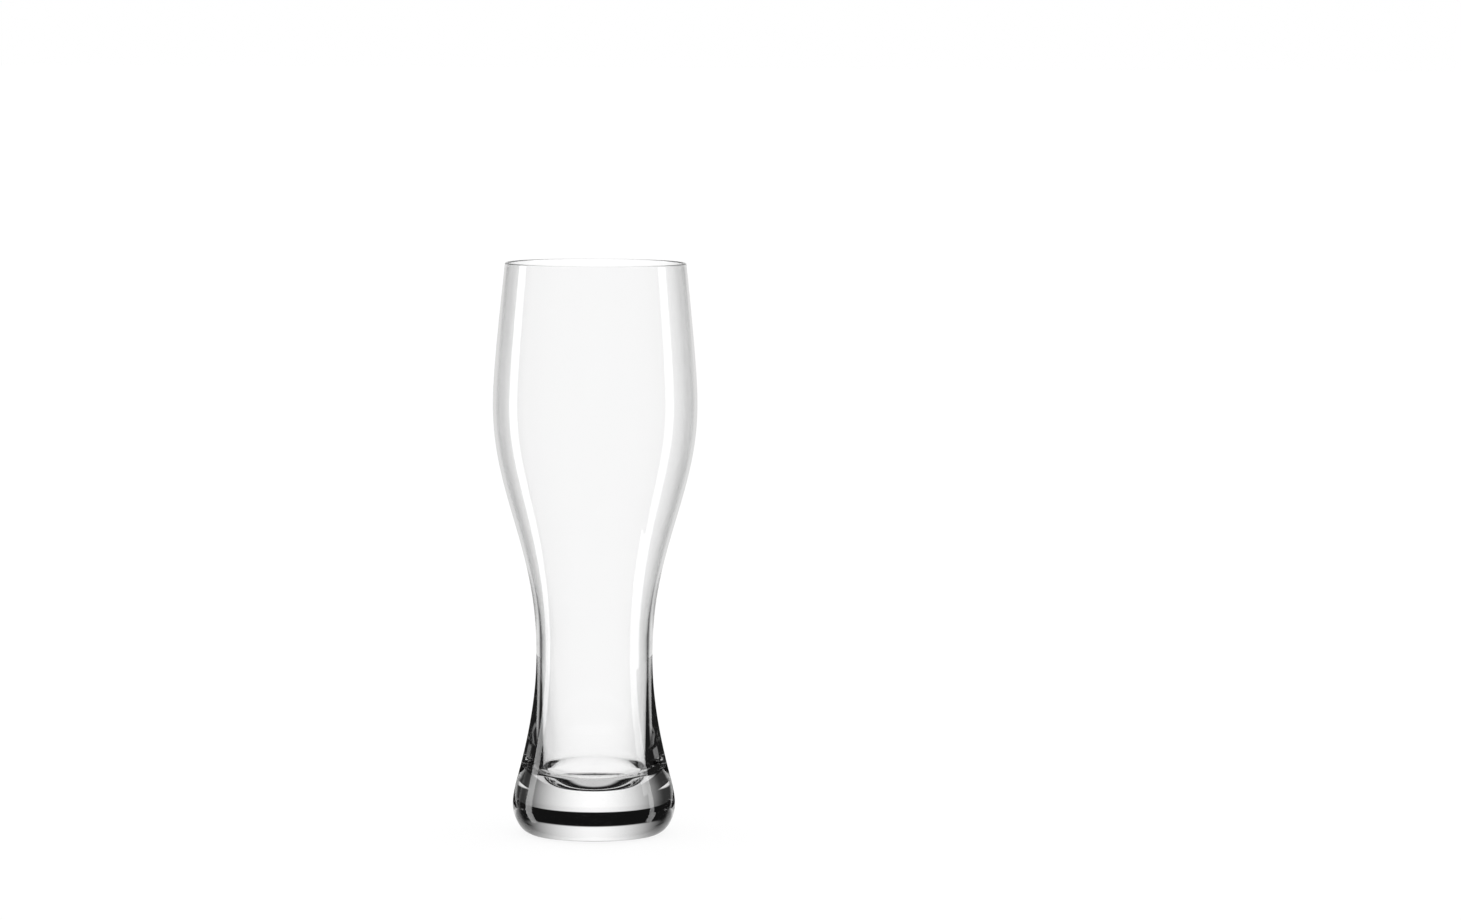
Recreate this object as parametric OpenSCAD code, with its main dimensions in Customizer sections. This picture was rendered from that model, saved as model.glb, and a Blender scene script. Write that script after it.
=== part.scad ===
// Weizen glass: a tall blown bowl fused to a heavy solid base. All sizes are in millimetres.
// The origin is the middle of the underside, on the plane that the glass stands on, and +Z points up.
// Each outline is half of a section, as [radius, height] points that are turned about the Z axis.

/* [Bowl] */
// Height of the glass from the table to the top of the rim
glass_h = 232; // [205:1:265]
// Outer diameter at the rim
rim_d = 73.2; // [66:0.2:80]
// Outer diameter at the widest place of the bowl
bulge_d = 82.8; // [74:0.2:92]
// Height of the widest place of the bowl
bulge_h = 174.5; // [155:0.5:190]
// Outer diameter at the waist, where the glass is held
waist_d = 47.1; // [42:0.1:52]
// Height of the waist
waist_h = 72.5; // [62:0.5:84]

/* [Wall] */
// Wall thickness at the rim, which is also the diameter of its rounded edge
rim_wall = 1.3; // [1:0.1:2]
// Wall thickness just above the waist, where the wall stops thinning quickly
swell_wall = 1.5; // [1.1:0.1:2.4]
// Wall thickness at the waist, which sets the width of the straight well below it
waist_wall = 2.1; // [1.6:0.1:3]

/* [Well] */
// Height of the drinking floor above the table, which is the thickness of the heavy base there
floor_h = 17.4; // [15:0.1:21]
// Diameter of the flat middle of the drinking floor
floor_d = 19.6; // [8:0.2:26]
// How far the floor has risen where its sloping part meets the rounded corner
floor_rise = 6.1; // [3:0.1:7.5]
// How steeply the floor slopes there, in millimetres up for each millimetre out
floor_rate = 0.95; // [0.5:0.01:1.2]
// Width of the rounded corner between the sloping floor and the well's wall
corner_w = 1.5; // [1:0.1:3.5]
// Height of that rounded corner
corner_h = 4.7; // [3.7:0.1:8]

/* [Base] */
// Outer diameter at the joint between bowl and base
joint_d = 60.5; // [57:0.1:63]
// Height of the joint on the outside of the glass
joint_h = 26; // [22:0.5:30]
// How far the outline flares outwards for each millimetre down, at the joint
flare_rate = 0.26; // [0.15:0.01:0.32]
// Glass between the drinking floor and the joint, on the axis
bowl_bottom = 6.2; // [4.5:0.1:7]
// Largest outer diameter of the base
base_d = 66; // [64:0.2:72]
// Height of the largest diameter of the base
heel_h = 11.5; // [8:0.1:14]
// Outer diameter of the flat ring that the glass stands on
foot_d = 50.6; // [44:0.2:56]
// Width of the flat ring that the glass stands on
foot_w = 4.6; // [2:0.1:8]
// Depth of the shallow hollow inside that ring
punt_h = 0.9; // [0.3:0.1:1.5]

/* [Hidden] */
$fn = 96;

// Colour of clear glass, as red, green, blue and opacity
clear_glass = [0.9, 0.92, 0.93, 0.35];

rim_r = rim_d / 2;
bulge_r = bulge_d / 2;
waist_r = waist_d / 2;
joint_r = joint_d / 2;
base_r = base_d / 2;
foot_r = foot_d / 2;
well_r = waist_r - waist_wall;
floor_r = floor_d / 2;

// How much the middle of the swell is held back, as a share of a plain cosine rise
swell_lag_share = 0.25;
// How soon the outline above the bulge runs straight, as a share of its height
shoulder_soft_share = 0.44;
// How full the rounded heel is: one gives a quarter of an ellipse, and more cuts it flatter
heel_round_share = 1.1;
// Where the straight well ends and where the wall runs even, as shares of the way from waist to bulge
well_top_share = 0.05;
even_wall_share = 0.35;

well_top_h = mix(waist_h, bulge_h, well_top_share);
even_wall_h = mix(waist_h, bulge_h, even_wall_share);
edge_h = glass_h - rim_wall / 2;
slope_r = well_r - corner_w;
slope_h = floor_h + floor_rise;
corner_top_h = slope_h + corner_h;
dish_h = floor_h - bowl_bottom;

// Numbers of straight steps along each stretch of the outlines
outer_steps = 56;
inner_steps = 44;
joint_steps = 18;
side_steps = 8;
round_steps = 14;
corner_steps = 8;
slope_steps = 12;
punt_steps = 6;

// A value on the way from a to b
function mix(a, b, share) = a + (b - a) * share;

// A smooth curve from a to b over a run of the given length, with a slope at each end
function curve(a, b, slope_a, slope_b, run, share) =
    let (t = share, u = 1 - share)
    a * u * u * (1 + 2 * t) + b * t * t * (3 - 2 * t) + run * t * u * (slope_a * u - slope_b * t);

// Outer radius of the base's side, from its largest diameter up to the joint
function side_r(z) =
    curve(joint_r, base_r, flare_rate, 0, joint_h - heel_h, (joint_h - z) / (joint_h - heel_h));

// Outer radius of the flare, from the joint up to the waist
function flare_r(z) =
    curve(waist_r, joint_r, 0, flare_rate, waist_h - joint_h, (waist_h - z) / (waist_h - joint_h));

// Outer radius of the swell, from the waist up to the bulge
function swell_r(z) =
    let (u = (z - waist_h) / (bulge_h - waist_h), held = u - swell_lag_share * u * pow(1 - u, 2))
    mix(waist_r, bulge_r, (1 - cos(180 * held)) / 2);

// Outer radius of the shoulder, from the bulge up to the rim
function shoulder_r(z) =
    let (u = (z - bulge_h) / (glass_h - bulge_h), soft = shoulder_soft_share)
    mix(bulge_r, rim_r, u * u * (1 + soft) / (u + soft));

// Outer radius of the bowl at any height
function outer_r(z) = z < waist_h ? flare_r(z) : z < bulge_h ? swell_r(z) : shoulder_r(z);

// Inner radius of the bowl where the wall is nearly even, from the swell up to the rim
function even_r(z) =
    outer_r(z) - mix(swell_wall, rim_wall, (z - even_wall_h) / (edge_h - even_wall_h));

// Slope of that inner outline at its lower end, taken over one step
step_h = (edge_h - even_wall_h) / inner_steps;
even_rate = (even_r(even_wall_h + step_h) - even_r(even_wall_h)) / step_h;

// Inner radius of the bowl above its rounded corner
function inner_r(z) =
    z <= well_top_h ? well_r
    : z >= even_wall_h ? even_r(z)
    : let (run = even_wall_h - well_top_h)
      curve(well_r, even_r(even_wall_h), 0, even_rate, run, (z - well_top_h) / run);

// Joint between bowl and base: a round dish from the outside of the glass to the axis, as shared points
dish_depth = joint_h - dish_h;
dish_ball_r = (joint_r * joint_r + dish_depth * dish_depth) / (2 * dish_depth);
joint_points = [for (i = [0:joint_steps])
    let (angle = asin(joint_r / dish_ball_r) * (1 - i / joint_steps))
    [dish_ball_r * sin(angle), dish_h + dish_ball_r * (1 - cos(angle))]];

outer_points = [for (i = [1:outer_steps])
    let (z = mix(joint_h, edge_h, i / outer_steps))
    [outer_r(z), z]];

// Rounded edge of the rim, from the outside over the top to the inside
edge_points = [for (i = [1:round_steps])
    let (angle = 180 * i / round_steps)
    [outer_r(edge_h) - rim_wall / 2 * (1 - cos(angle)), edge_h + rim_wall / 2 * sin(angle)]];

inner_points = [for (i = [1:inner_steps])
    let (z = mix(edge_h, well_top_h, i / inner_steps))
    [inner_r(z), z]];

// Rounded corner of the well, leaving its wall upright and ending at the floor's own slope
corner_points = [for (i = [0:corner_steps])
    let (t = i / corner_steps, u = 1 - t, bend_h = slope_h + floor_rate * corner_w)
    [well_r - corner_w * t * t, corner_top_h * u * u + bend_h * 2 * t * u + slope_h * t * t]];

// Sloping part of the drinking floor, from the rounded corner in to the flat middle
slope_points = [for (i = [1:slope_steps])
    let (t = i / slope_steps)
    [mix(slope_r, floor_r, t), curve(slope_h, floor_h, -floor_rate, 0, slope_r - floor_r, t)]];

// Rounded heel of the base, from the foot ring out to the largest diameter
heel_points = [for (i = [0:round_steps])
    let (angle = 90 * i / round_steps,
        out = pow(sin(angle), heel_round_share), up = 1 - pow(cos(angle), heel_round_share))
    [mix(foot_r, base_r, out), heel_h * up]];

side_points = [for (i = [1:side_steps - 1])
    let (z = mix(heel_h, joint_h, i / side_steps))
    [side_r(z), z]];

// Shallow hollow under the base, from the axis out to the foot ring
punt_points = [for (i = [0:punt_steps])
    let (share = i / punt_steps)
    [(foot_r - foot_w) * share, punt_h * (1 - share * share)]];

// Blown bowl with its rounded, closed bottom
module bowl() {
    color(clear_glass)
    rotate_extrude()
    polygon(concat([joint_points[0]], outer_points, edge_points, inner_points, corner_points,
        slope_points, [[0, floor_h]], [for (i = [joint_steps:-1:1]) joint_points[i]]));
}

// Heavy solid base with a dished top, a rounded heel and a flat foot ring
module base() {
    color(clear_glass)
    rotate_extrude()
    polygon(concat(punt_points, heel_points, side_points, joint_points));
}

bowl();
base();
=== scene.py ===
"""Weizen glass: a tall blown bowl melted onto a heavy solid base, on a bright studio table.

Sizes of the glass are in millimetres and turn into metres where a mesh is made.
Each outline is half of a section, as points of radius and height turned about the Z axis.
"""

import logging
import math
from collections.abc import Callable
from dataclasses import dataclass
from enum import Enum

import bpy
from mathutils import Matrix, Vector


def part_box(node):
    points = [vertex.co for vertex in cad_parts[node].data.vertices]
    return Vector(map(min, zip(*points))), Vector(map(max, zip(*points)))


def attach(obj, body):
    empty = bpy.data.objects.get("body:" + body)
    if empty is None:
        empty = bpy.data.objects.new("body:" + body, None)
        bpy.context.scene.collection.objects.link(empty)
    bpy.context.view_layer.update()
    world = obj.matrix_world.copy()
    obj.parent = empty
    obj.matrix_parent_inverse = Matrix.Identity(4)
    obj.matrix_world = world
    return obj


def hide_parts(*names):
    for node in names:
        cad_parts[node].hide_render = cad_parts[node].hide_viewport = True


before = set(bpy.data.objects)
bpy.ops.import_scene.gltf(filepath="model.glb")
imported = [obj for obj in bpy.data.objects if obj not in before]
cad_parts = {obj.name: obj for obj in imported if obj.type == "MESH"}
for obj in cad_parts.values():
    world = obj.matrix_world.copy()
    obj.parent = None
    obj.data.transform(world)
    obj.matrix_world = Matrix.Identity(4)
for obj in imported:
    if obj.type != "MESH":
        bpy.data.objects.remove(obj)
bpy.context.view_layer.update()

log = logging.getLogger("weizen_glass")

METRE = 0.001
BODY = "root"

WHITE = (1.0, 1.0, 1.0, 1.0)

# A count of faces passed or of turns taken is a whole number, so it is compared with the half below it.
ONE_OR_MORE = 0.5
THREE_OR_MORE = 2.5

Point = tuple[float, float]
Spot = tuple[float, float, float]
Feed = float | bpy.types.NodeSocket


class Face(Enum):
    """The kinds of face on a piece, by their place in its list of materials."""

    GLASS = 0
    MELTED_JOINT = 1


class Side(Enum):
    """The two pieces of the glass, by the name of the solid that each stands for."""

    BOWL = "bowl"
    BASE = "base"


def mix(a: float, b: float, share: float) -> float:
    """Returns the value that lies the given share of the way from a to b."""
    return a + (b - a) * share


def curve(a: float, b: float, slope_a: float, slope_b: float, run: float, share: float) -> float:
    """A smooth curve from a to b with a slope at each end.

    Args:
        a: Value at the start.
        b: Value at the end.
        slope_a: How fast the curve leaves a.
        slope_b: How fast it came to b, seen from b.
        run: Length over which the curve runs.
        share: How far along the run the value is wanted, from 0 to 1.

    Returns:
        The value of the curve there.
    """
    t, u = share, 1 - share
    return a * u * u * (1 + 2 * t) + b * t * t * (3 - 2 * t) + run * t * u * (slope_a * u - slope_b * t)


def steps(count: int, first: int = 0) -> list[float]:
    """Returns shares from first / count up to 1, in even steps."""
    return [i / count for i in range(first, count + 1)]


def new_object(name: str, spots: list[Spot], faces: list[list[int]]) -> bpy.types.Object:
    """Makes a mesh object and links it to the scene.

    Args:
        name: Name of the object and of its mesh.
        spots: Places of the mesh's points, in metres.
        faces: The points of each face, by their place in spots.

    Returns:
        The new object.
    """
    mesh = bpy.data.meshes.new(name)
    mesh.from_pydata(spots, [], faces)
    made = bpy.data.objects.new(name, mesh)
    bpy.context.scene.collection.objects.link(made)
    return made


@dataclass
class GlassSection:
    """Half of the section through the whole glass, in millimetres.

    The height, the widest places and the joint come from the solids, so the pieces fill the same space.
    """

    glass_h: float
    bulge_d: float
    base_d: float
    joint_h: float
    dish_h: float
    rim_d: float = 73.2
    bulge_h: float = 174.5
    waist_d: float = 47.1
    waist_h: float = 72.5
    rim_wall: float = 1.3
    swell_wall: float = 1.5
    waist_wall: float = 2.1
    floor_h: float = 17.4
    floor_d: float = 19.6
    floor_rise: float = 6.1
    floor_rate: float = 0.95
    corner_w: float = 1.5
    corner_h: float = 4.7
    joint_d: float = 60.5
    flare_rate: float = 0.26
    heel_h: float = 11.5
    foot_d: float = 50.6
    foot_w: float = 4.6
    punt_h: float = 0.9
    swell_lag_share: float = 0.25
    shoulder_soft_share: float = 0.44
    heel_round_share: float = 1.1
    well_top_share: float = 0.05
    even_wall_share: float = 0.35
    wall_step: float = 0.85
    slope_step: float = 1.0
    round_steps: int = 24
    heel_steps: int = 48
    flat_steps: int = 6

    @classmethod
    def from_frame(cls) -> "GlassSection":
        """Takes the driving sizes from the boxes of the two solids.

        Returns:
            The section of the whole glass.
        """
        bowl_low, bowl_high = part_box(Side.BOWL.value)
        base_low, base_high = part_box(Side.BASE.value)
        return cls(
            glass_h=bowl_high.z / METRE,
            bulge_d=2 * bowl_high.x / METRE,
            base_d=2 * base_high.x / METRE,
            joint_h=base_high.z / METRE,
            dish_h=bowl_low.z / METRE,
        )

    def __post_init__(self) -> None:
        """Works out the radii and heights that several outlines share."""
        self.rim_r = self.rim_d / 2
        self.bulge_r = self.bulge_d / 2
        self.waist_r = self.waist_d / 2
        self.joint_r = self.joint_d / 2
        self.base_r = self.base_d / 2
        self.foot_r = self.foot_d / 2
        self.floor_r = self.floor_d / 2
        self.well_r = self.waist_r - self.waist_wall
        self.well_top_h = mix(self.waist_h, self.bulge_h, self.well_top_share)
        self.even_h = mix(self.waist_h, self.bulge_h, self.even_wall_share)
        self.edge_h = self.glass_h - self.rim_wall / 2
        self.slope_r = self.well_r - self.corner_w
        self.slope_h = self.floor_h + self.floor_rise
        self.corner_top_h = self.slope_h + self.corner_h
        dish_depth = self.joint_h - self.dish_h
        self.dish_ball_r = (self.joint_r**2 + dish_depth**2) / (2 * dish_depth)

    def side_r(self, z: float) -> float:
        """Outer radius of the base's side, from its widest place up to the joint."""
        run = self.joint_h - self.heel_h
        return curve(self.joint_r, self.base_r, self.flare_rate, 0, run, (self.joint_h - z) / run)

    def outer_r(self, z: float) -> float:
        """Outer radius of the bowl at a height above the joint.

        Args:
            z: Height above the table.

        Returns:
            The radius there.
        """
        if z < self.waist_h:
            run = self.waist_h - self.joint_h
            return curve(self.waist_r, self.joint_r, 0, self.flare_rate, run, (self.waist_h - z) / run)
        if z < self.bulge_h:
            u = (z - self.waist_h) / (self.bulge_h - self.waist_h)
            held = u - self.swell_lag_share * u * (1 - u) ** 2
            return mix(self.waist_r, self.bulge_r, (1 - math.cos(math.pi * held)) / 2)
        u = (z - self.bulge_h) / (self.glass_h - self.bulge_h)
        soft = self.shoulder_soft_share
        return mix(self.bulge_r, self.rim_r, u * u * (1 + soft) / (u + soft))

    def even_r(self, z: float) -> float:
        """Inner radius where the wall is nearly even, from the swell up to the rim."""
        share = (z - self.even_h) / (self.edge_h - self.even_h)
        return self.outer_r(z) - mix(self.swell_wall, self.rim_wall, share)

    def inner_r(self, z: float) -> float:
        """Inner radius of the bowl above its rounded corner.

        Args:
            z: Height above the table.

        Returns:
            The radius there.
        """
        if z <= self.well_top_h:
            return self.well_r
        if z >= self.even_h:
            return self.even_r(z)
        rate = (self.even_r(self.even_h + self.slope_step) - self.even_r(self.even_h)) / self.slope_step
        run = self.even_h - self.well_top_h
        return curve(self.well_r, self.even_r(self.even_h), 0, rate, run, (z - self.well_top_h) / run)

    def wall_points(self, radius: Callable[[float], float], start: float, end: float) -> list[Point]:
        """Points up or down one wall.

        Args:
            radius: Radius of that wall at a height.
            start: Height at which the wall starts; its own point is left out.
            end: Height at which it ends.

        Returns:
            The points, about one wall step apart.
        """
        count = max(2, round(abs(end - start) / self.wall_step))
        heights = [mix(start, end, share) for share in steps(count, 1)]
        return [(radius(z), z) for z in heights]

    def joint_points(self) -> list[Point]:
        """The joint between bowl and base, from the axis out to the outside of the glass.

        Returns:
            Its points, on a round dish.
        """
        widest = math.asin(self.joint_r / self.dish_ball_r)
        angles = [widest * share for share in steps(self.round_steps)]
        ball = self.dish_ball_r
        return [(ball * math.sin(a), self.dish_h + ball * (1 - math.cos(a))) for a in angles]

    def foot_points(self) -> list[Point]:
        """The underside, from the axis over the shallow hollow and the foot ring to the widest place.

        Returns:
            Its points, from the axis outwards.
        """
        ring_r = self.foot_r - self.foot_w
        hollow = [(ring_r * s, self.punt_h * (1 - s * s)) for s in steps(self.round_steps)]
        heel = []
        for share in steps(self.heel_steps):
            angle = math.pi / 2 * share
            out = math.sin(angle) ** self.heel_round_share
            up = 1 - max(0.0, math.cos(angle)) ** self.heel_round_share
            heel.append((mix(self.foot_r, self.base_r, out), self.heel_h * up))
        return hollow + heel

    def edge_points(self) -> list[Point]:
        """The rounded edge of the rim, from the outside over the top to the inside.

        Returns:
            Its points, without the first one, which the outer wall has.
        """
        half = self.rim_wall / 2
        outside = self.outer_r(self.edge_h)
        angles = [math.pi * share for share in steps(self.round_steps, 1)]
        return [(outside - half * (1 - math.cos(a)), self.edge_h + half * math.sin(a)) for a in angles]

    def corner_points(self) -> list[Point]:
        """The rounded corner of the well, from its wall down to the sloping floor.

        Returns:
            Its points, from the wall inwards.
        """
        bend_h = self.slope_h + self.floor_rate * self.corner_w
        points = []
        for t in steps(self.round_steps):
            u = 1 - t
            height = self.corner_top_h * u * u + bend_h * 2 * t * u + self.slope_h * t * t
            points.append((self.well_r - self.corner_w * t * t, height))
        return points

    def floor_points(self) -> list[Point]:
        """The drinking floor, from the corner in over its slope and its flat middle to the axis.

        Returns:
            Its points, without the first one, which the corner has.
        """
        run = self.slope_r - self.floor_r
        slope = []
        for t in steps(self.round_steps, 1):
            height = curve(self.slope_h, self.floor_h, -self.floor_rate, 0, run, t)
            slope.append((mix(self.slope_r, self.floor_r, t), height))
        flat = [(self.floor_r * (1 - share), self.floor_h) for share in steps(self.flat_steps, 1)]
        return slope + flat

    def base_outside(self) -> list[Point]:
        """The base's visible outline, from the axis underneath up to the joint.

        Returns:
            Its points, from the foot up.
        """
        return self.foot_points() + self.wall_points(self.side_r, self.heel_h, self.joint_h)

    def bowl_outside(self) -> list[Point]:
        """The bowl's visible outline, from the joint over the rim and down inside to the axis.

        Returns:
            Its points, from the joint on.
        """
        return (
            [(self.joint_r, self.joint_h)]
            + self.wall_points(self.outer_r, self.joint_h, self.edge_h)
            + self.edge_points()
            + self.wall_points(self.inner_r, self.edge_h, self.corner_top_h)[:-1]
            + self.corner_points()
            + self.floor_points()
        )

    def normals(self, outline: list[Point], before: Point | None, after: Point | None) -> list[Point]:
        """Directions in which an outline faces, out of the glass.

        Args:
            outline: The points, walked with the glass on the left.
            before: The point that comes before the first one, or None at the axis.
            after: The point that comes after the last one, or None at the axis.

        Returns:
            One direction of length 1 for each point, as its radial and its upward part.
        """
        first = before or (-outline[1][0], outline[1][1])
        last = after or (-outline[-2][0], outline[-2][1])
        walked = [first, *outline, last]
        faced = []
        for (r0, z0), (r1, z1) in zip(walked, walked[2:]):
            length = math.hypot(r1 - r0, z1 - z0)
            faced.append(((z1 - z0) / length, (r0 - r1) / length))
        return faced


class Wiring:
    """Places and joins shader nodes in one node tree."""

    def __init__(self, tree: bpy.types.NodeTree) -> None:
        """Starts with an empty tree."""
        self.tree = tree
        tree.nodes.clear()

    def node(self, kind: str, **settings: object) -> bpy.types.Node:
        """Adds a node.

        Args:
            kind: Blender's name for this kind of node.
            **settings: Values for the node's own settings.

        Returns:
            The new node.
        """
        made = self.tree.nodes.new(kind)
        for setting, value in settings.items():
            setattr(made, setting, value)
        return made

    def feed(self, socket: bpy.types.NodeSocket, value: object) -> None:
        """Sets a socket to a plain value, or joins it to another socket.

        Args:
            socket: The socket to feed.
            value: The plain value, or the socket that feeds it.
        """
        if isinstance(value, bpy.types.NodeSocket):
            self.tree.links.new(value, socket)
        else:
            socket.default_value = value

    def maths(self, operation: str, a: Feed, b: Feed | None = None) -> bpy.types.NodeSocket:
        """Adds a sum.

        Args:
            operation: Blender's name for the sum.
            a: First value.
            b: Second value, where the sum takes one.

        Returns:
            The result.
        """
        made = self.node("ShaderNodeMath", operation=operation)
        self.feed(made.inputs[0], a)
        if b is not None:
            self.feed(made.inputs[1], b)
        return made.outputs[0]

    def ease(self, value: Feed, low: float, high: float, start: Feed, end: Feed) -> bpy.types.NodeSocket:
        """Eases from one value to another.

        Args:
            value: What drives the change.
            low: Where the change starts.
            high: Where it ends.
            start: Result below low.
            end: Result above high.

        Returns:
            The eased value.
        """
        made = self.node("ShaderNodeMapRange", interpolation_type="SMOOTHSTEP")
        for name, part in zip(("Value", "From Min", "From Max", "To Min", "To Max"), (value, low, high, start, end)):
            self.feed(made.inputs[name], part)
        return made.outputs[0]

    def band(self, value: Feed, low: float, high: float, soft: float) -> bpy.types.NodeSocket:
        """Marks a band of values.

        Args:
            value: What is compared.
            low: Where the band starts.
            high: Where it ends.
            soft: How far each edge fades to either side.

        Returns:
            1 within the band and 0 outside it.
        """
        risen = self.ease(value, low - soft, low + soft, 0.0, 1.0)
        fallen = self.ease(value, high - soft, high + soft, 0.0, 1.0)
        return self.maths("SUBTRACT", risen, fallen)

    def choose(self, share: Feed, a: Feed, b: Feed) -> bpy.types.NodeSocket:
        """Blends two values.

        Args:
            share: How far the result has moved from a to b.
            a: Result where share is 0.
            b: Result where share is 1.

        Returns:
            The blended value.
        """
        made = self.node("ShaderNodeMix", data_type="FLOAT")
        self.feed(made.inputs[0], share)
        self.feed(made.inputs[2], a)
        self.feed(made.inputs[3], b)
        return made.outputs[0]

    def degrees(self, operation: str, a: Feed, b: Feed | None = None) -> bpy.types.NodeSocket:
        """Returns an inverse trigonometric sum in degrees."""
        return self.maths("MULTIPLY", self.maths(operation, a, b), math.degrees(1))

    def show(self, surface: bpy.types.NodeSocket, kind: str = "ShaderNodeOutputMaterial") -> None:
        """Joins a finished surface to the tree's output, of the given kind."""
        self.feed(self.node(kind).inputs["Surface"], surface)


def new_material(name: str) -> tuple[bpy.types.Material, Wiring]:
    """Makes an empty node material.

    Args:
        name: Name of the material.

    Returns:
        The material, and the wiring to fill it with.
    """
    made = bpy.data.materials.new(name)
    made.use_nodes = True
    return made, Wiring(made.node_tree)


@dataclass(frozen=True)
class GlassSkin:
    """Node group for the skin of hand-finished glass: long shallow ripples and a faint breath of haze."""

    name: str = "glass_skin"
    ripple_detail: float = 1.0
    haze_detail: float = 3.0
    haze_from: float = 0.45
    haze_full: float = 0.75

    def group(self) -> bpy.types.NodeTree:
        """Builds the group the first time it is asked for.

        Returns:
            The group's node tree.
        """
        made = bpy.data.node_groups.get(self.name)
        if made:
            return made
        made = bpy.data.node_groups.new(self.name, "ShaderNodeTree")
        wiring = Wiring(made)
        for label in ("Ripple Width", "Ripple Length", "Haze Width", "Haze", "Polish"):
            made.interface.new_socket(label, in_out="INPUT", socket_type="NodeSocketFloat")
        for label in ("Height", "Roughness"):
            made.interface.new_socket(label, in_out="OUTPUT", socket_type="NodeSocketFloat")
        given = wiring.node("NodeGroupInput").outputs
        ripple = self.blotches(wiring, given["Ripple Width"], given["Ripple Length"], self.ripple_detail)
        patch = self.blotches(wiring, given["Haze Width"], given["Haze Width"], self.haze_detail)
        veil = wiring.ease(patch, self.haze_from, self.haze_full, 0.0, 1.0)
        result = wiring.node("NodeGroupOutput").inputs
        wiring.feed(result["Height"], ripple)
        hazy = wiring.maths("MULTIPLY", veil, given["Haze"])
        wiring.feed(result["Roughness"], wiring.maths("ADD", given["Polish"], hazy))
        return made

    def blotches(self, wiring: Wiring, width: Feed, length: Feed, detail: float) -> bpy.types.NodeSocket:
        """Soft random blotches.

        Args:
            wiring: The tree to draw them in.
            width: Their width round the glass, in metres.
            length: Their length up the glass, in metres.
            detail: How many finer layers they have.

        Returns:
            Their value at each place, from 0 to 1.
        """
        place = wiring.node("ShaderNodeSeparateXYZ")
        wiring.feed(place.inputs[0], wiring.node("ShaderNodeTexCoord").outputs["Object"])
        squeezed = wiring.node("ShaderNodeCombineXYZ")
        for axis, unit in (("X", width), ("Y", width), ("Z", length)):
            wiring.feed(squeezed.inputs[axis], wiring.maths("DIVIDE", place.outputs[axis], unit))
        noise = wiring.node("ShaderNodeTexNoise")
        wiring.feed(noise.inputs["Vector"], squeezed.outputs[0])
        wiring.feed(noise.inputs["Scale"], 1.0)
        wiring.feed(noise.inputs["Detail"], detail)
        return noise.outputs[0]


@dataclass(frozen=True)
class ClearGlass:
    """Finish of clear soda glass with long, shallow ripples in its skin. Lengths are in metres."""

    name: str
    ripple_width: float
    ripple_length: float
    ripple_height: float
    haze: float = 0.02
    haze_width: float = 0.03
    polish: float = 0.0
    bending: float = 1.5

    def material(self) -> bpy.types.Material:
        """Makes the glass.

        Returns:
            The finished material.
        """
        made, wiring = new_material(self.name)
        shader = wiring.node("ShaderNodeBsdfPrincipled")
        skin = wiring.node("ShaderNodeGroup", node_tree=GlassSkin().group())
        for label, value in (
            ("Ripple Width", self.ripple_width),
            ("Ripple Length", self.ripple_length),
            ("Haze Width", self.haze_width),
            ("Haze", self.haze),
            ("Polish", self.polish),
        ):
            wiring.feed(skin.inputs[label], value)
        bump = wiring.node("ShaderNodeBump")
        wiring.feed(bump.inputs["Strength"], 1.0)
        wiring.feed(bump.inputs["Distance"], self.ripple_height)
        wiring.feed(bump.inputs["Height"], skin.outputs["Height"])
        wiring.feed(shader.inputs["Base Color"], WHITE)
        wiring.feed(shader.inputs["Roughness"], skin.outputs["Roughness"])
        wiring.feed(shader.inputs["IOR"], self.bending)
        wiring.feed(shader.inputs["Transmission Weight"], 1.0)
        wiring.feed(shader.inputs["Normal"], bump.outputs["Normal"])
        wiring.show(shader.outputs["BSDF"])
        return made


@dataclass(frozen=True)
class MeltedJoint:
    """Finish of the faces inside the glass where bowl and base are melted into one, so nothing shows."""

    name: str = "melted_joint"

    def material(self) -> bpy.types.Material:
        """Builds the unseen joint the first time it is asked for.

        Returns:
            The finished material.
        """
        made = bpy.data.materials.get(self.name)
        if made:
            return made
        made, wiring = new_material(self.name)
        shader = wiring.node("ShaderNodeBsdfPrincipled")
        wiring.feed(shader.inputs["Alpha"], 0.0)
        wiring.show(shader.outputs["BSDF"])
        return made


@dataclass(frozen=True)
class GlowingMatt:
    """Finish of the studio's table and cards: a matt grey that also glows evenly."""

    name: str
    shade: float
    glow: float

    def material(self) -> bpy.types.Material:
        """Makes the surface.

        Returns:
            The finished material.
        """
        made, wiring = new_material(self.name)
        matt = wiring.node("ShaderNodeBsdfDiffuse")
        wiring.feed(matt.inputs["Color"], (self.shade, self.shade, self.shade, 1.0))
        glow = wiring.node("ShaderNodeEmission")
        wiring.feed(glow.inputs["Strength"], self.glow)
        both = wiring.node("ShaderNodeAddShader")
        wiring.feed(both.inputs[0], matt.outputs[0])
        wiring.feed(both.inputs[1], glow.outputs[0])
        wiring.show(both.outputs[0])
        return made


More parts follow.
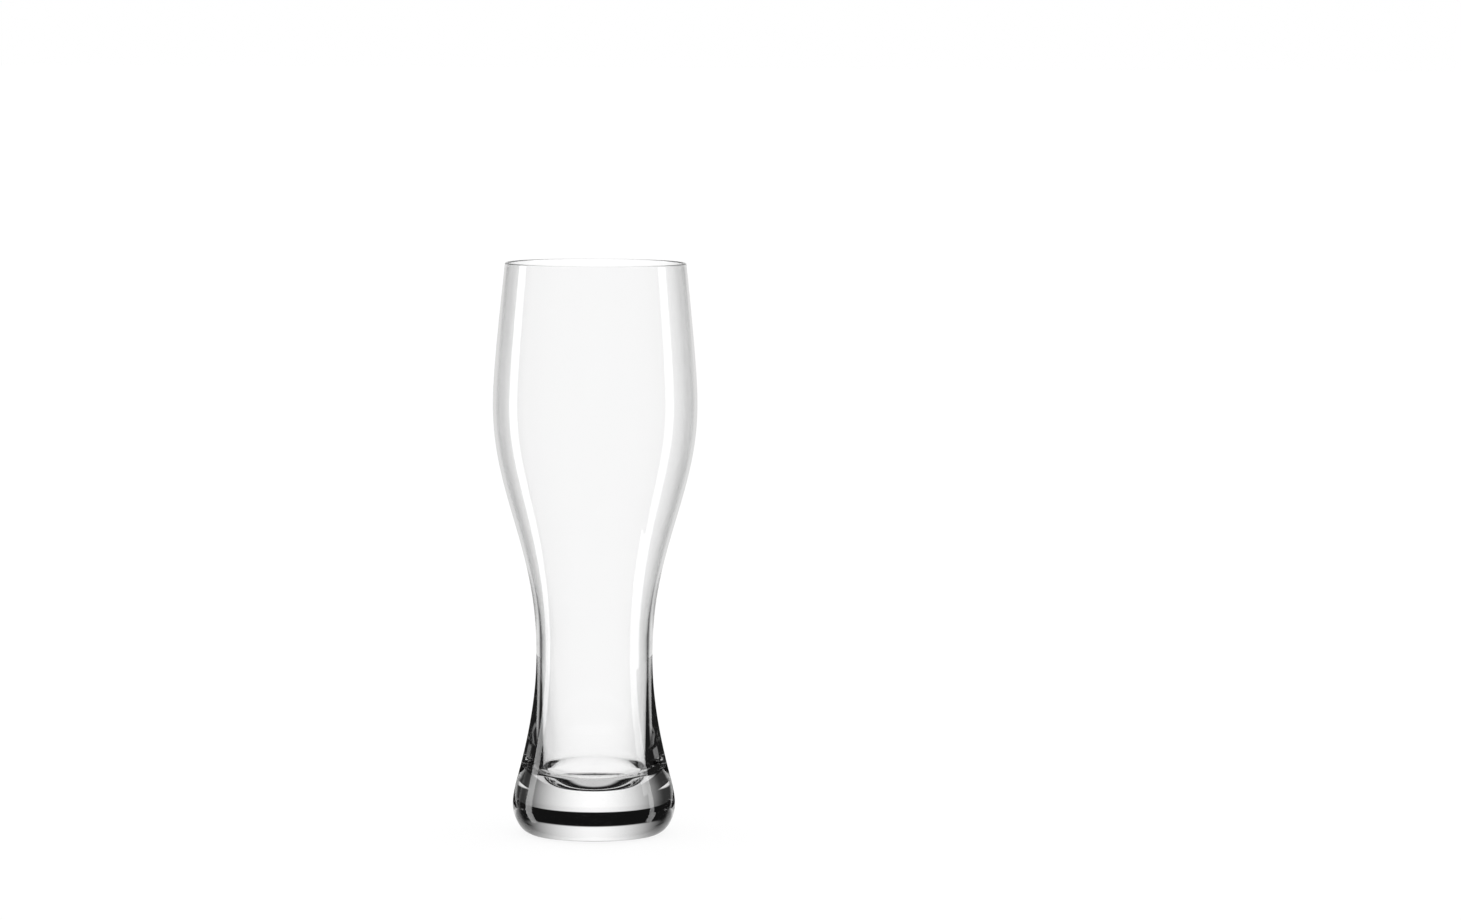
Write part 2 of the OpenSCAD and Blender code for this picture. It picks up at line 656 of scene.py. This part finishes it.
@dataclass
class GlassPiece:
    """One closed piece of the glass, turned about the Z axis."""

    section: GlassSection
    name: str
    side: Side
    finish: ClearGlass
    turns: int = 160

    def outline(self) -> tuple[list[Point], list[Point], list[Face]]:
        """Draws the closed outline of the piece, from axis to axis.

        Returns:
            Its points, the directions that they face, and each stretch's kind of face.
        """
        raise NotImplementedError

    def build(self) -> bpy.types.Object:
        """Turns the outline into one closed mesh and puts it in the scene.

        Returns:
            The new piece, with its two materials' places still empty.
        """
        points, faced, kinds = self.outline()
        spokes = [(math.cos(a), math.sin(a)) for a in (2 * math.pi * k / self.turns for k in range(self.turns))]
        spots, normals, rings = [], [], []
        for (radius, height), (out, up) in zip(points, faced):
            here = [(0.0, 1.0)] if radius < METRE else spokes
            rings.append([len(spots) + k for k in range(len(here))])
            for c, s in here:
                reach = 0.0 if radius < METRE else radius * METRE
                spots.append((reach * c, reach * s, height * METRE))
                normals.append((out * c, out * s, up) if reach else (0.0, 0.0, math.copysign(1.0, up)))
        faces, places = [], []
        for low, high, kind in zip(rings, rings[1:], kinds):
            for k in range(self.turns):
                j = (k + 1) % self.turns
                corners = [low[k % len(low)], low[j % len(low)], high[j % len(high)], high[k % len(high)]]
                faces.append(list(dict.fromkeys(corners)))
                places.append(kind.value)
        piece = new_object(self.name, spots, faces)
        piece.data.polygons.foreach_set("material_index", places)
        piece.data.polygons.foreach_set("use_smooth", [True] * len(faces))
        piece.data.normals_split_custom_set_from_vertices(normals)
        return piece

    def dress(self, piece: bpy.types.Object) -> None:
        """Gives the piece its glass and its unseen joint.

        Args:
            piece: The piece to dress.
        """
        piece.data.materials.append(self.finish.material())
        piece.data.materials.append(MeltedJoint().material())

    def place(self, piece: bpy.types.Object) -> None:
        """Sets the piece on its body, in the stead of its solid.

        Args:
            piece: The piece to place.
        """
        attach(piece, BODY)
        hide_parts(self.side.value)


@dataclass
class BlownBowl(GlassPiece):
    """The tall thin bowl with its closed, rounded bottom."""

    name: str = "blown_bowl"
    side: Side = Side.BOWL
    finish: ClearGlass = ClearGlass("bowl_glass", ripple_width=0.014, ripple_length=0.09, ripple_height=4e-6)

    def outline(self) -> tuple[list[Point], list[Point], list[Face]]:
        """Draws the joint from the axis outwards, then the outside, the rim and the inside.

        Returns:
            Its points, the directions that they face, and each stretch's kind of face.
        """
        joint = self.section.joint_points()[:-1]
        glass = self.section.bowl_outside()
        below = self.section.base_outside()[-2]
        faced = [(0.0, -1.0)] * len(joint) + self.section.normals(glass, below, None)
        kinds = [Face.MELTED_JOINT] * len(joint) + [Face.GLASS] * (len(glass) - 1)
        return joint + glass, faced, kinds


@dataclass
class HeavyBase(GlassPiece):
    """The heavy solid base with its rounded heel and foot ring."""

    name: str = "heavy_base"
    side: Side = Side.BASE
    finish: ClearGlass = ClearGlass("base_glass", ripple_width=0.02, ripple_length=0.03, ripple_height=4e-6)

    def outline(self) -> tuple[list[Point], list[Point], list[Face]]:
        """Draws the underside and the side up to the joint, then the joint back to the axis.

        Returns:
            Its points, the directions that they face, and each stretch's kind of face.
        """
        glass = self.section.base_outside()
        joint = self.section.joint_points()[-2::-1]
        above = self.section.bowl_outside()[1]
        faced = self.section.normals(glass, None, above) + [(0.0, 1.0)] * len(joint)
        kinds = [Face.GLASS] * (len(glass) - 1) + [Face.MELTED_JOINT] * len(joint)
        return glass + joint, faced, kinds


@dataclass(frozen=True)
class Fade:
    """A level that eases into another one between two angles, in degrees."""

    start: float
    end: float
    before: float
    after: float

    def draw(self, wiring: Wiring, angle: Feed) -> bpy.types.NodeSocket:
        """Returns the level at an angle."""
        return wiring.ease(angle, self.start, self.end, self.before, self.after)


@dataclass(frozen=True)
class Panel:
    """An upright panel in the room with soft edges, by the directions that it fills, in degrees."""

    left: float
    right: float
    low: float
    high: float
    level: float
    soft_sides: float = 1.5
    soft_ends: float = 6.0

    def draw(self, wiring: Wiring, azimuth: Feed, elevation: Feed) -> bpy.types.NodeSocket:
        """Returns how far a direction lies on the panel, from 0 to 1."""
        across = wiring.band(azimuth, self.left, self.right, self.soft_sides)
        return wiring.maths("MULTIPLY", across, wiring.band(elevation, self.low, self.high, self.soft_ends))


@dataclass(frozen=True)
class StudioRoom:
    """The studio as the glass sees it, by direction in degrees; azimuth 0 is straight behind the glass.

    What shows through the glass, what its outside mirrors and what light bounced inside it reaches
    are set apart, so a pale backdrop can stand in an otherwise dark room. The patches are dark panels
    that draw the outlines of the glass from the sides and from behind, and the gap is a dark slit
    above the horizon that draws the dark band in the base.
    """

    backdrop: Fade = Fade(0.0, 50.0, 1.1, 0.04)
    side_screens: Fade = Fade(62.0, 80.0, 0.0, 0.97)
    patches: tuple[Panel, ...] = (
        Panel(103.0, 114.0, -90.0, 90.0, 0.04, soft_sides=4.0),
        Panel(156.0, 167.0, -90.0, 90.0, 0.04, soft_sides=4.0),
    )
    table_through_bowl: Panel = Panel(14.0, 67.0, -90.0, -8.0, 0.95, soft_sides=4.0, soft_ends=1.0)
    table_past_joint: Panel = Panel(14.0, 67.0, -90.0, -10.5, 0.95, soft_sides=4.0, soft_ends=1.0)
    table_share: Fade = Fade(-60.0, -48.0, 1.0, 0.0)
    table_level: float = 0.95
    upper_share: Fade = Fade(-1.0, 1.0, 1.0, 0.92)
    ceiling_share: Fade = Fade(30.0, 45.0, 1.0, 0.03)
    gap_low: float = 3.2
    gap_high: float = 9.1
    gap_soft: float = 0.3
    gap_level: float = 0.005
    gap_share: Fade = Fade(62.0, 74.0, 1.0, 0.0)
    mirrored_back: Fade = Fade(35.0, 55.0, 0.8, 0.03)
    inner_table: Fade = Fade(-60.0, -48.0, 0.6, 0.01)
    inner_back: Fade = Fade(24.0, 38.0, 0.65, 0.0)
    inner_back_low: float = -27.0
    inner_back_high: float = 0.0
    inner_back_soft: float = 2.0
    inner_ceiling: Panel = Panel(24.0, 77.0, 24.0, 100.0, 0.45, soft_sides=4.0, soft_ends=3.0)
    inner_strip_share: float = 0.05
    strips: tuple[Panel, ...] = (
        Panel(-81.0, -66.5, -30.0, 76.0, 3.6, soft_ends=3.0),
        Panel(80.5, 93.5, -30.0, 76.0, 3.4, soft_ends=3.0),
    )

    def seen_through(self, wiring: Wiring, azimuth: Feed, elevation: Feed) -> bpy.types.NodeSocket:
        """Brightness of the backdrop, the screens beside it and the table, as seen through the glass.

        Light that passed both walls of the bowl, or never crossed the melted joint, finds the table
        bright on the quarters too, so the bowl stays clear while the solid base keeps its dark sides.

        Args:
            wiring: The tree to draw it in.
            azimuth: Direction round the glass, in degrees.
            elevation: Direction above the horizon, in degrees.

        Returns:
            The brightness there.
        """
        aside = wiring.maths("ABSOLUTE", azimuth)
        level = wiring.maths("ADD", self.backdrop.draw(wiring, aside), self.side_screens.draw(wiring, aside))
        for patch in self.patches:
            level = wiring.choose(patch.draw(wiring, aside, elevation), level, patch.level)
        path = wiring.node("ShaderNodeLightPath").outputs
        both_walls = wiring.maths("GREATER_THAN", path["Transmission Depth"], THREE_OR_MORE)
        past_joint = wiring.maths("LESS_THAN", path["Transparent Depth"], ONE_OR_MORE)
        for table, test in ((self.table_through_bowl, both_walls), (self.table_past_joint, past_joint)):
            shown = wiring.maths("MULTIPLY", test, table.draw(wiring, aside, elevation))
            level = wiring.choose(shown, level, table.level)
        level = wiring.choose(self.table_share.draw(wiring, elevation), level, self.table_level)
        level = wiring.maths("MULTIPLY", level, self.upper_share.draw(wiring, elevation))
        level = wiring.maths("MULTIPLY", level, self.ceiling_share.draw(wiring, elevation))
        gap = wiring.band(elevation, self.gap_low, self.gap_high, self.gap_soft)
        gap = wiring.maths("MULTIPLY", gap, self.gap_share.draw(wiring, aside))
        return wiring.choose(gap, level, self.gap_level)

    def strip_light(self, wiring: Wiring, azimuth: Feed, elevation: Feed) -> bpy.types.NodeSocket:
        """Brightness of the tall strip lights at the two sides.

        Args:
            wiring: The tree to draw it in.
            azimuth: Direction round the glass, in degrees.
            elevation: Direction above the horizon, in degrees.

        Returns:
            The brightness there.
        """
        total: Feed = 0.0
        for strip in self.strips:
            shape = strip.draw(wiring, azimuth, elevation)
            total = wiring.maths("ADD", total, wiring.maths("MULTIPLY", shape, strip.level))
        return total

    def bounced_inside(self, wiring: Wiring, azimuth: Feed, elevation: Feed) -> bpy.types.NodeSocket:
        """Brightness that light mirrored inside the glass finds on its way out.

        Args:
            wiring: The tree to draw it in.
            azimuth: Direction round the glass, in degrees.
            elevation: Direction above the horizon, in degrees.

        Returns:
            The brightness there.
        """
        aside = wiring.maths("ABSOLUTE", azimuth)
        back = self.inner_back.draw(wiring, aside)
        height = wiring.band(elevation, self.inner_back_low, self.inner_back_high, self.inner_back_soft)
        back = wiring.maths("MULTIPLY", back, height)
        above = self.inner_ceiling.draw(wiring, aside, elevation)
        above = wiring.maths("MULTIPLY", above, self.inner_ceiling.level)
        level = wiring.maths("ADD", back, above)
        return wiring.maths("ADD", level, self.inner_table.draw(wiring, elevation))

    def sort_rays(self, wiring: Wiring, through: Feed, mirrored: Feed, inner: Feed) -> bpy.types.NodeSocket:
        """Picks a brightness by how the light came to be looked at, and white for a direct look.

        Args:
            wiring: The tree to draw it in.
            through: Brightness for light that passed the glass and was never mirrored.
            mirrored: Brightness for light mirrored off the outside of the glass.
            inner: Brightness for light that was mirrored inside the glass.

        Returns:
            The brightness for the ray at hand.
        """
        path = wiring.node("ShaderNodeLightPath").outputs
        mirrored_once = wiring.maths("GREATER_THAN", path["Glossy Depth"], ONE_OR_MORE)
        went_in = wiring.maths("GREATER_THAN", path["Transmission Depth"], ONE_OR_MORE)
        bounced = wiring.choose(went_in, mirrored, inner)
        indirect = wiring.choose(mirrored_once, through, bounced)
        glassy = wiring.maths("MAXIMUM", path["Is Glossy Ray"], path["Is Transmission Ray"])
        return wiring.choose(glassy, 1.0, indirect)

    def build_world(self) -> bpy.types.World:
        """Makes the room round the glass and its table.

        Returns:
            The world, already set on the scene.
        """
        world = bpy.data.worlds.new("studio_room")
        bpy.context.scene.world = world
        world.use_nodes = True
        wiring = Wiring(world.node_tree)
        way = wiring.node("ShaderNodeSeparateXYZ")
        wiring.feed(way.inputs[0], wiring.node("ShaderNodeTexCoord").outputs["Generated"])
        elevation = wiring.degrees("ARCSINE", way.outputs["Z"])
        azimuth = wiring.degrees("ARCTAN2", way.outputs["X"], way.outputs["Y"])
        through = self.seen_through(wiring, azimuth, elevation)
        strips = self.strip_light(wiring, azimuth, elevation)
        mirror = self.mirrored_back.draw(wiring, wiring.maths("ABSOLUTE", azimuth))
        mirrored = wiring.maths("ADD", mirror, strips)
        inner = self.bounced_inside(wiring, azimuth, elevation)
        inner = wiring.maths("ADD", inner, wiring.maths("MULTIPLY", strips, self.inner_strip_share))
        glow = wiring.node("ShaderNodeBackground")
        wiring.feed(glow.inputs["Strength"], self.sort_rays(wiring, through, mirrored, inner))
        wiring.feed(glow.inputs["Color"], WHITE)
        wiring.show(glow.outputs[0], "ShaderNodeOutputWorld")
        return world


@dataclass(frozen=True)
class StudioTable:
    """The white table top, which keeps a faint shadow of the glass. Lengths are in metres.

    The glass finds the light of the table in the room's lower half, so the top itself shows only directly.
    """

    half_width: float = 30.0
    drop: float = 0.00005
    lit_share: float = 0.15
    glow_share: float = 0.87

    def build(self) -> bpy.types.Object:
        """Makes the table top.

        Returns:
            The table.
        """
        s = self.half_width
        table = new_object("table", [(-s, -s, 0), (s, -s, 0), (s, s, 0), (-s, s, 0)], [[0, 1, 2, 3]])
        table.location.z = -self.drop
        table.visible_glossy = False
        table.visible_transmission = False
        table.data.materials.append(GlowingMatt("white_table", self.lit_share, self.glow_share).material())
        return table


@dataclass(frozen=True)
class StudioCard:
    """A small curved card standing by the foot of the glass, found only by light mirrored off the glass.

    A black card keeps the lower edges of the glass dark, and a glowing one draws a highlight. The card
    stands between two directions round the glass, in degrees from straight behind, and its sizes are
    in metres.
    """

    name: str
    left: float
    right: float
    reach: float
    low: float
    high: float
    shade: float = 0.02
    glow: float = 0.0
    parts: int = 24

    def build(self) -> bpy.types.Object:
        """Makes the card.

        Returns:
            The card.
        """
        spots = []
        for share in steps(self.parts):
            angle = math.radians(mix(self.left, self.right, share))
            x, y = self.reach * math.sin(angle), self.reach * math.cos(angle)
            spots += [(x, y, self.low), (x, y, self.high)]
        faces = [[2 * i, 2 * i + 2, 2 * i + 3, 2 * i + 1] for i in range(self.parts)]
        card = new_object(self.name, spots, faces)
        card.visible_camera = False
        card.visible_diffuse = False
        card.visible_transmission = False
        card.visible_shadow = False
        card.data.materials.append(GlowingMatt(self.name, self.shade, self.glow).material())
        return card


STUDIO_CARDS = (
    StudioCard("left_black_card", left=-62.0, right=-8.0, reach=0.1, low=0.0, high=0.062),
    StudioCard("right_black_card", left=8.0, right=99.0, reach=0.1, low=0.0, high=0.062),
    StudioCard("right_light_card", left=101.0, right=112.0, reach=0.12, low=0.036, high=0.07, glow=2.5),
)


@dataclass(frozen=True)
class PhotoCamera:
    """The camera, placed by how steeply it looks down on the rim and on the foot of the glass."""

    glass_h: float
    rim_angle: float = 2.6
    foot_angle: float = 8.5
    tilt: float = 4.64
    roll: float = 0.3
    focal_px: float = 5524.2
    image_w: float = 1461.0
    axis_px: float = 594.6
    sensor_mm: float = 36.0
    near: float = 0.01
    far: float = 100.0

    def build(self) -> bpy.types.Object:
        """Makes the camera and sets it on the scene.

        Returns:
            The camera.
        """
        fall = math.tan(math.radians(self.foot_angle)) - math.tan(math.radians(self.rim_angle))
        distance = self.glass_h / fall
        height = distance * math.tan(math.radians(self.foot_angle))
        pan = math.atan((self.image_w / 2 - self.axis_px) / self.focal_px)
        data = bpy.data.cameras.new("camera")
        data.sensor_width = self.sensor_mm
        data.lens = self.focal_px / self.image_w * self.sensor_mm
        data.clip_start = self.near
        data.clip_end = self.far
        camera = bpy.data.objects.new("camera", data)
        camera.location = Vector((0.0, -distance, height))
        upright = Matrix.Rotation(math.radians(90 - self.tilt), 4, "X")
        rolled = Matrix.Rotation(math.radians(self.roll), 4, "Z")
        camera.rotation_euler = (Matrix.Rotation(-pan, 4, "Z") @ upright @ rolled).to_euler()
        bpy.context.scene.collection.objects.link(camera)
        bpy.context.scene.camera = camera
        return camera


@dataclass(frozen=True)
class LightPaths:
    """How often light may turn on its way, since thick clear glass bends and mirrors it many times."""

    bounces: int = 32

    def apply(self) -> None:
        """Sets the number of turns on the scene."""
        cycles = bpy.context.scene.cycles
        cycles.max_bounces = self.bounces
        cycles.transmission_bounces = self.bounces
        cycles.glossy_bounces = self.bounces
        cycles.transparent_max_bounces = self.bounces


@dataclass
class WeizenGlass:
    """The whole glass, made of its two pieces."""

    section: GlassSection

    def build(self) -> None:
        """Builds, dresses and places each piece in turn, and reports it."""
        for part in (BlownBowl(self.section), HeavyBase(self.section)):
            piece = part.build()
            part.dress(piece)
            part.place(piece)
            log.info("%s: %d faces", piece.name, len(piece.data.polygons))


def main() -> None:
    """Builds the glass, its table, its room and the camera."""
    logging.basicConfig(level=logging.INFO, format="%(message)s")
    section = GlassSection.from_frame()
    WeizenGlass(section).build()
    StudioRoom().build_world()
    StudioTable().build()
    for card in STUDIO_CARDS:
        card.build()
    PhotoCamera(section.glass_h * METRE).build()
    LightPaths().apply()
    bpy.context.scene.view_settings.view_transform = "Standard"


if __name__ == "__main__":
    main()
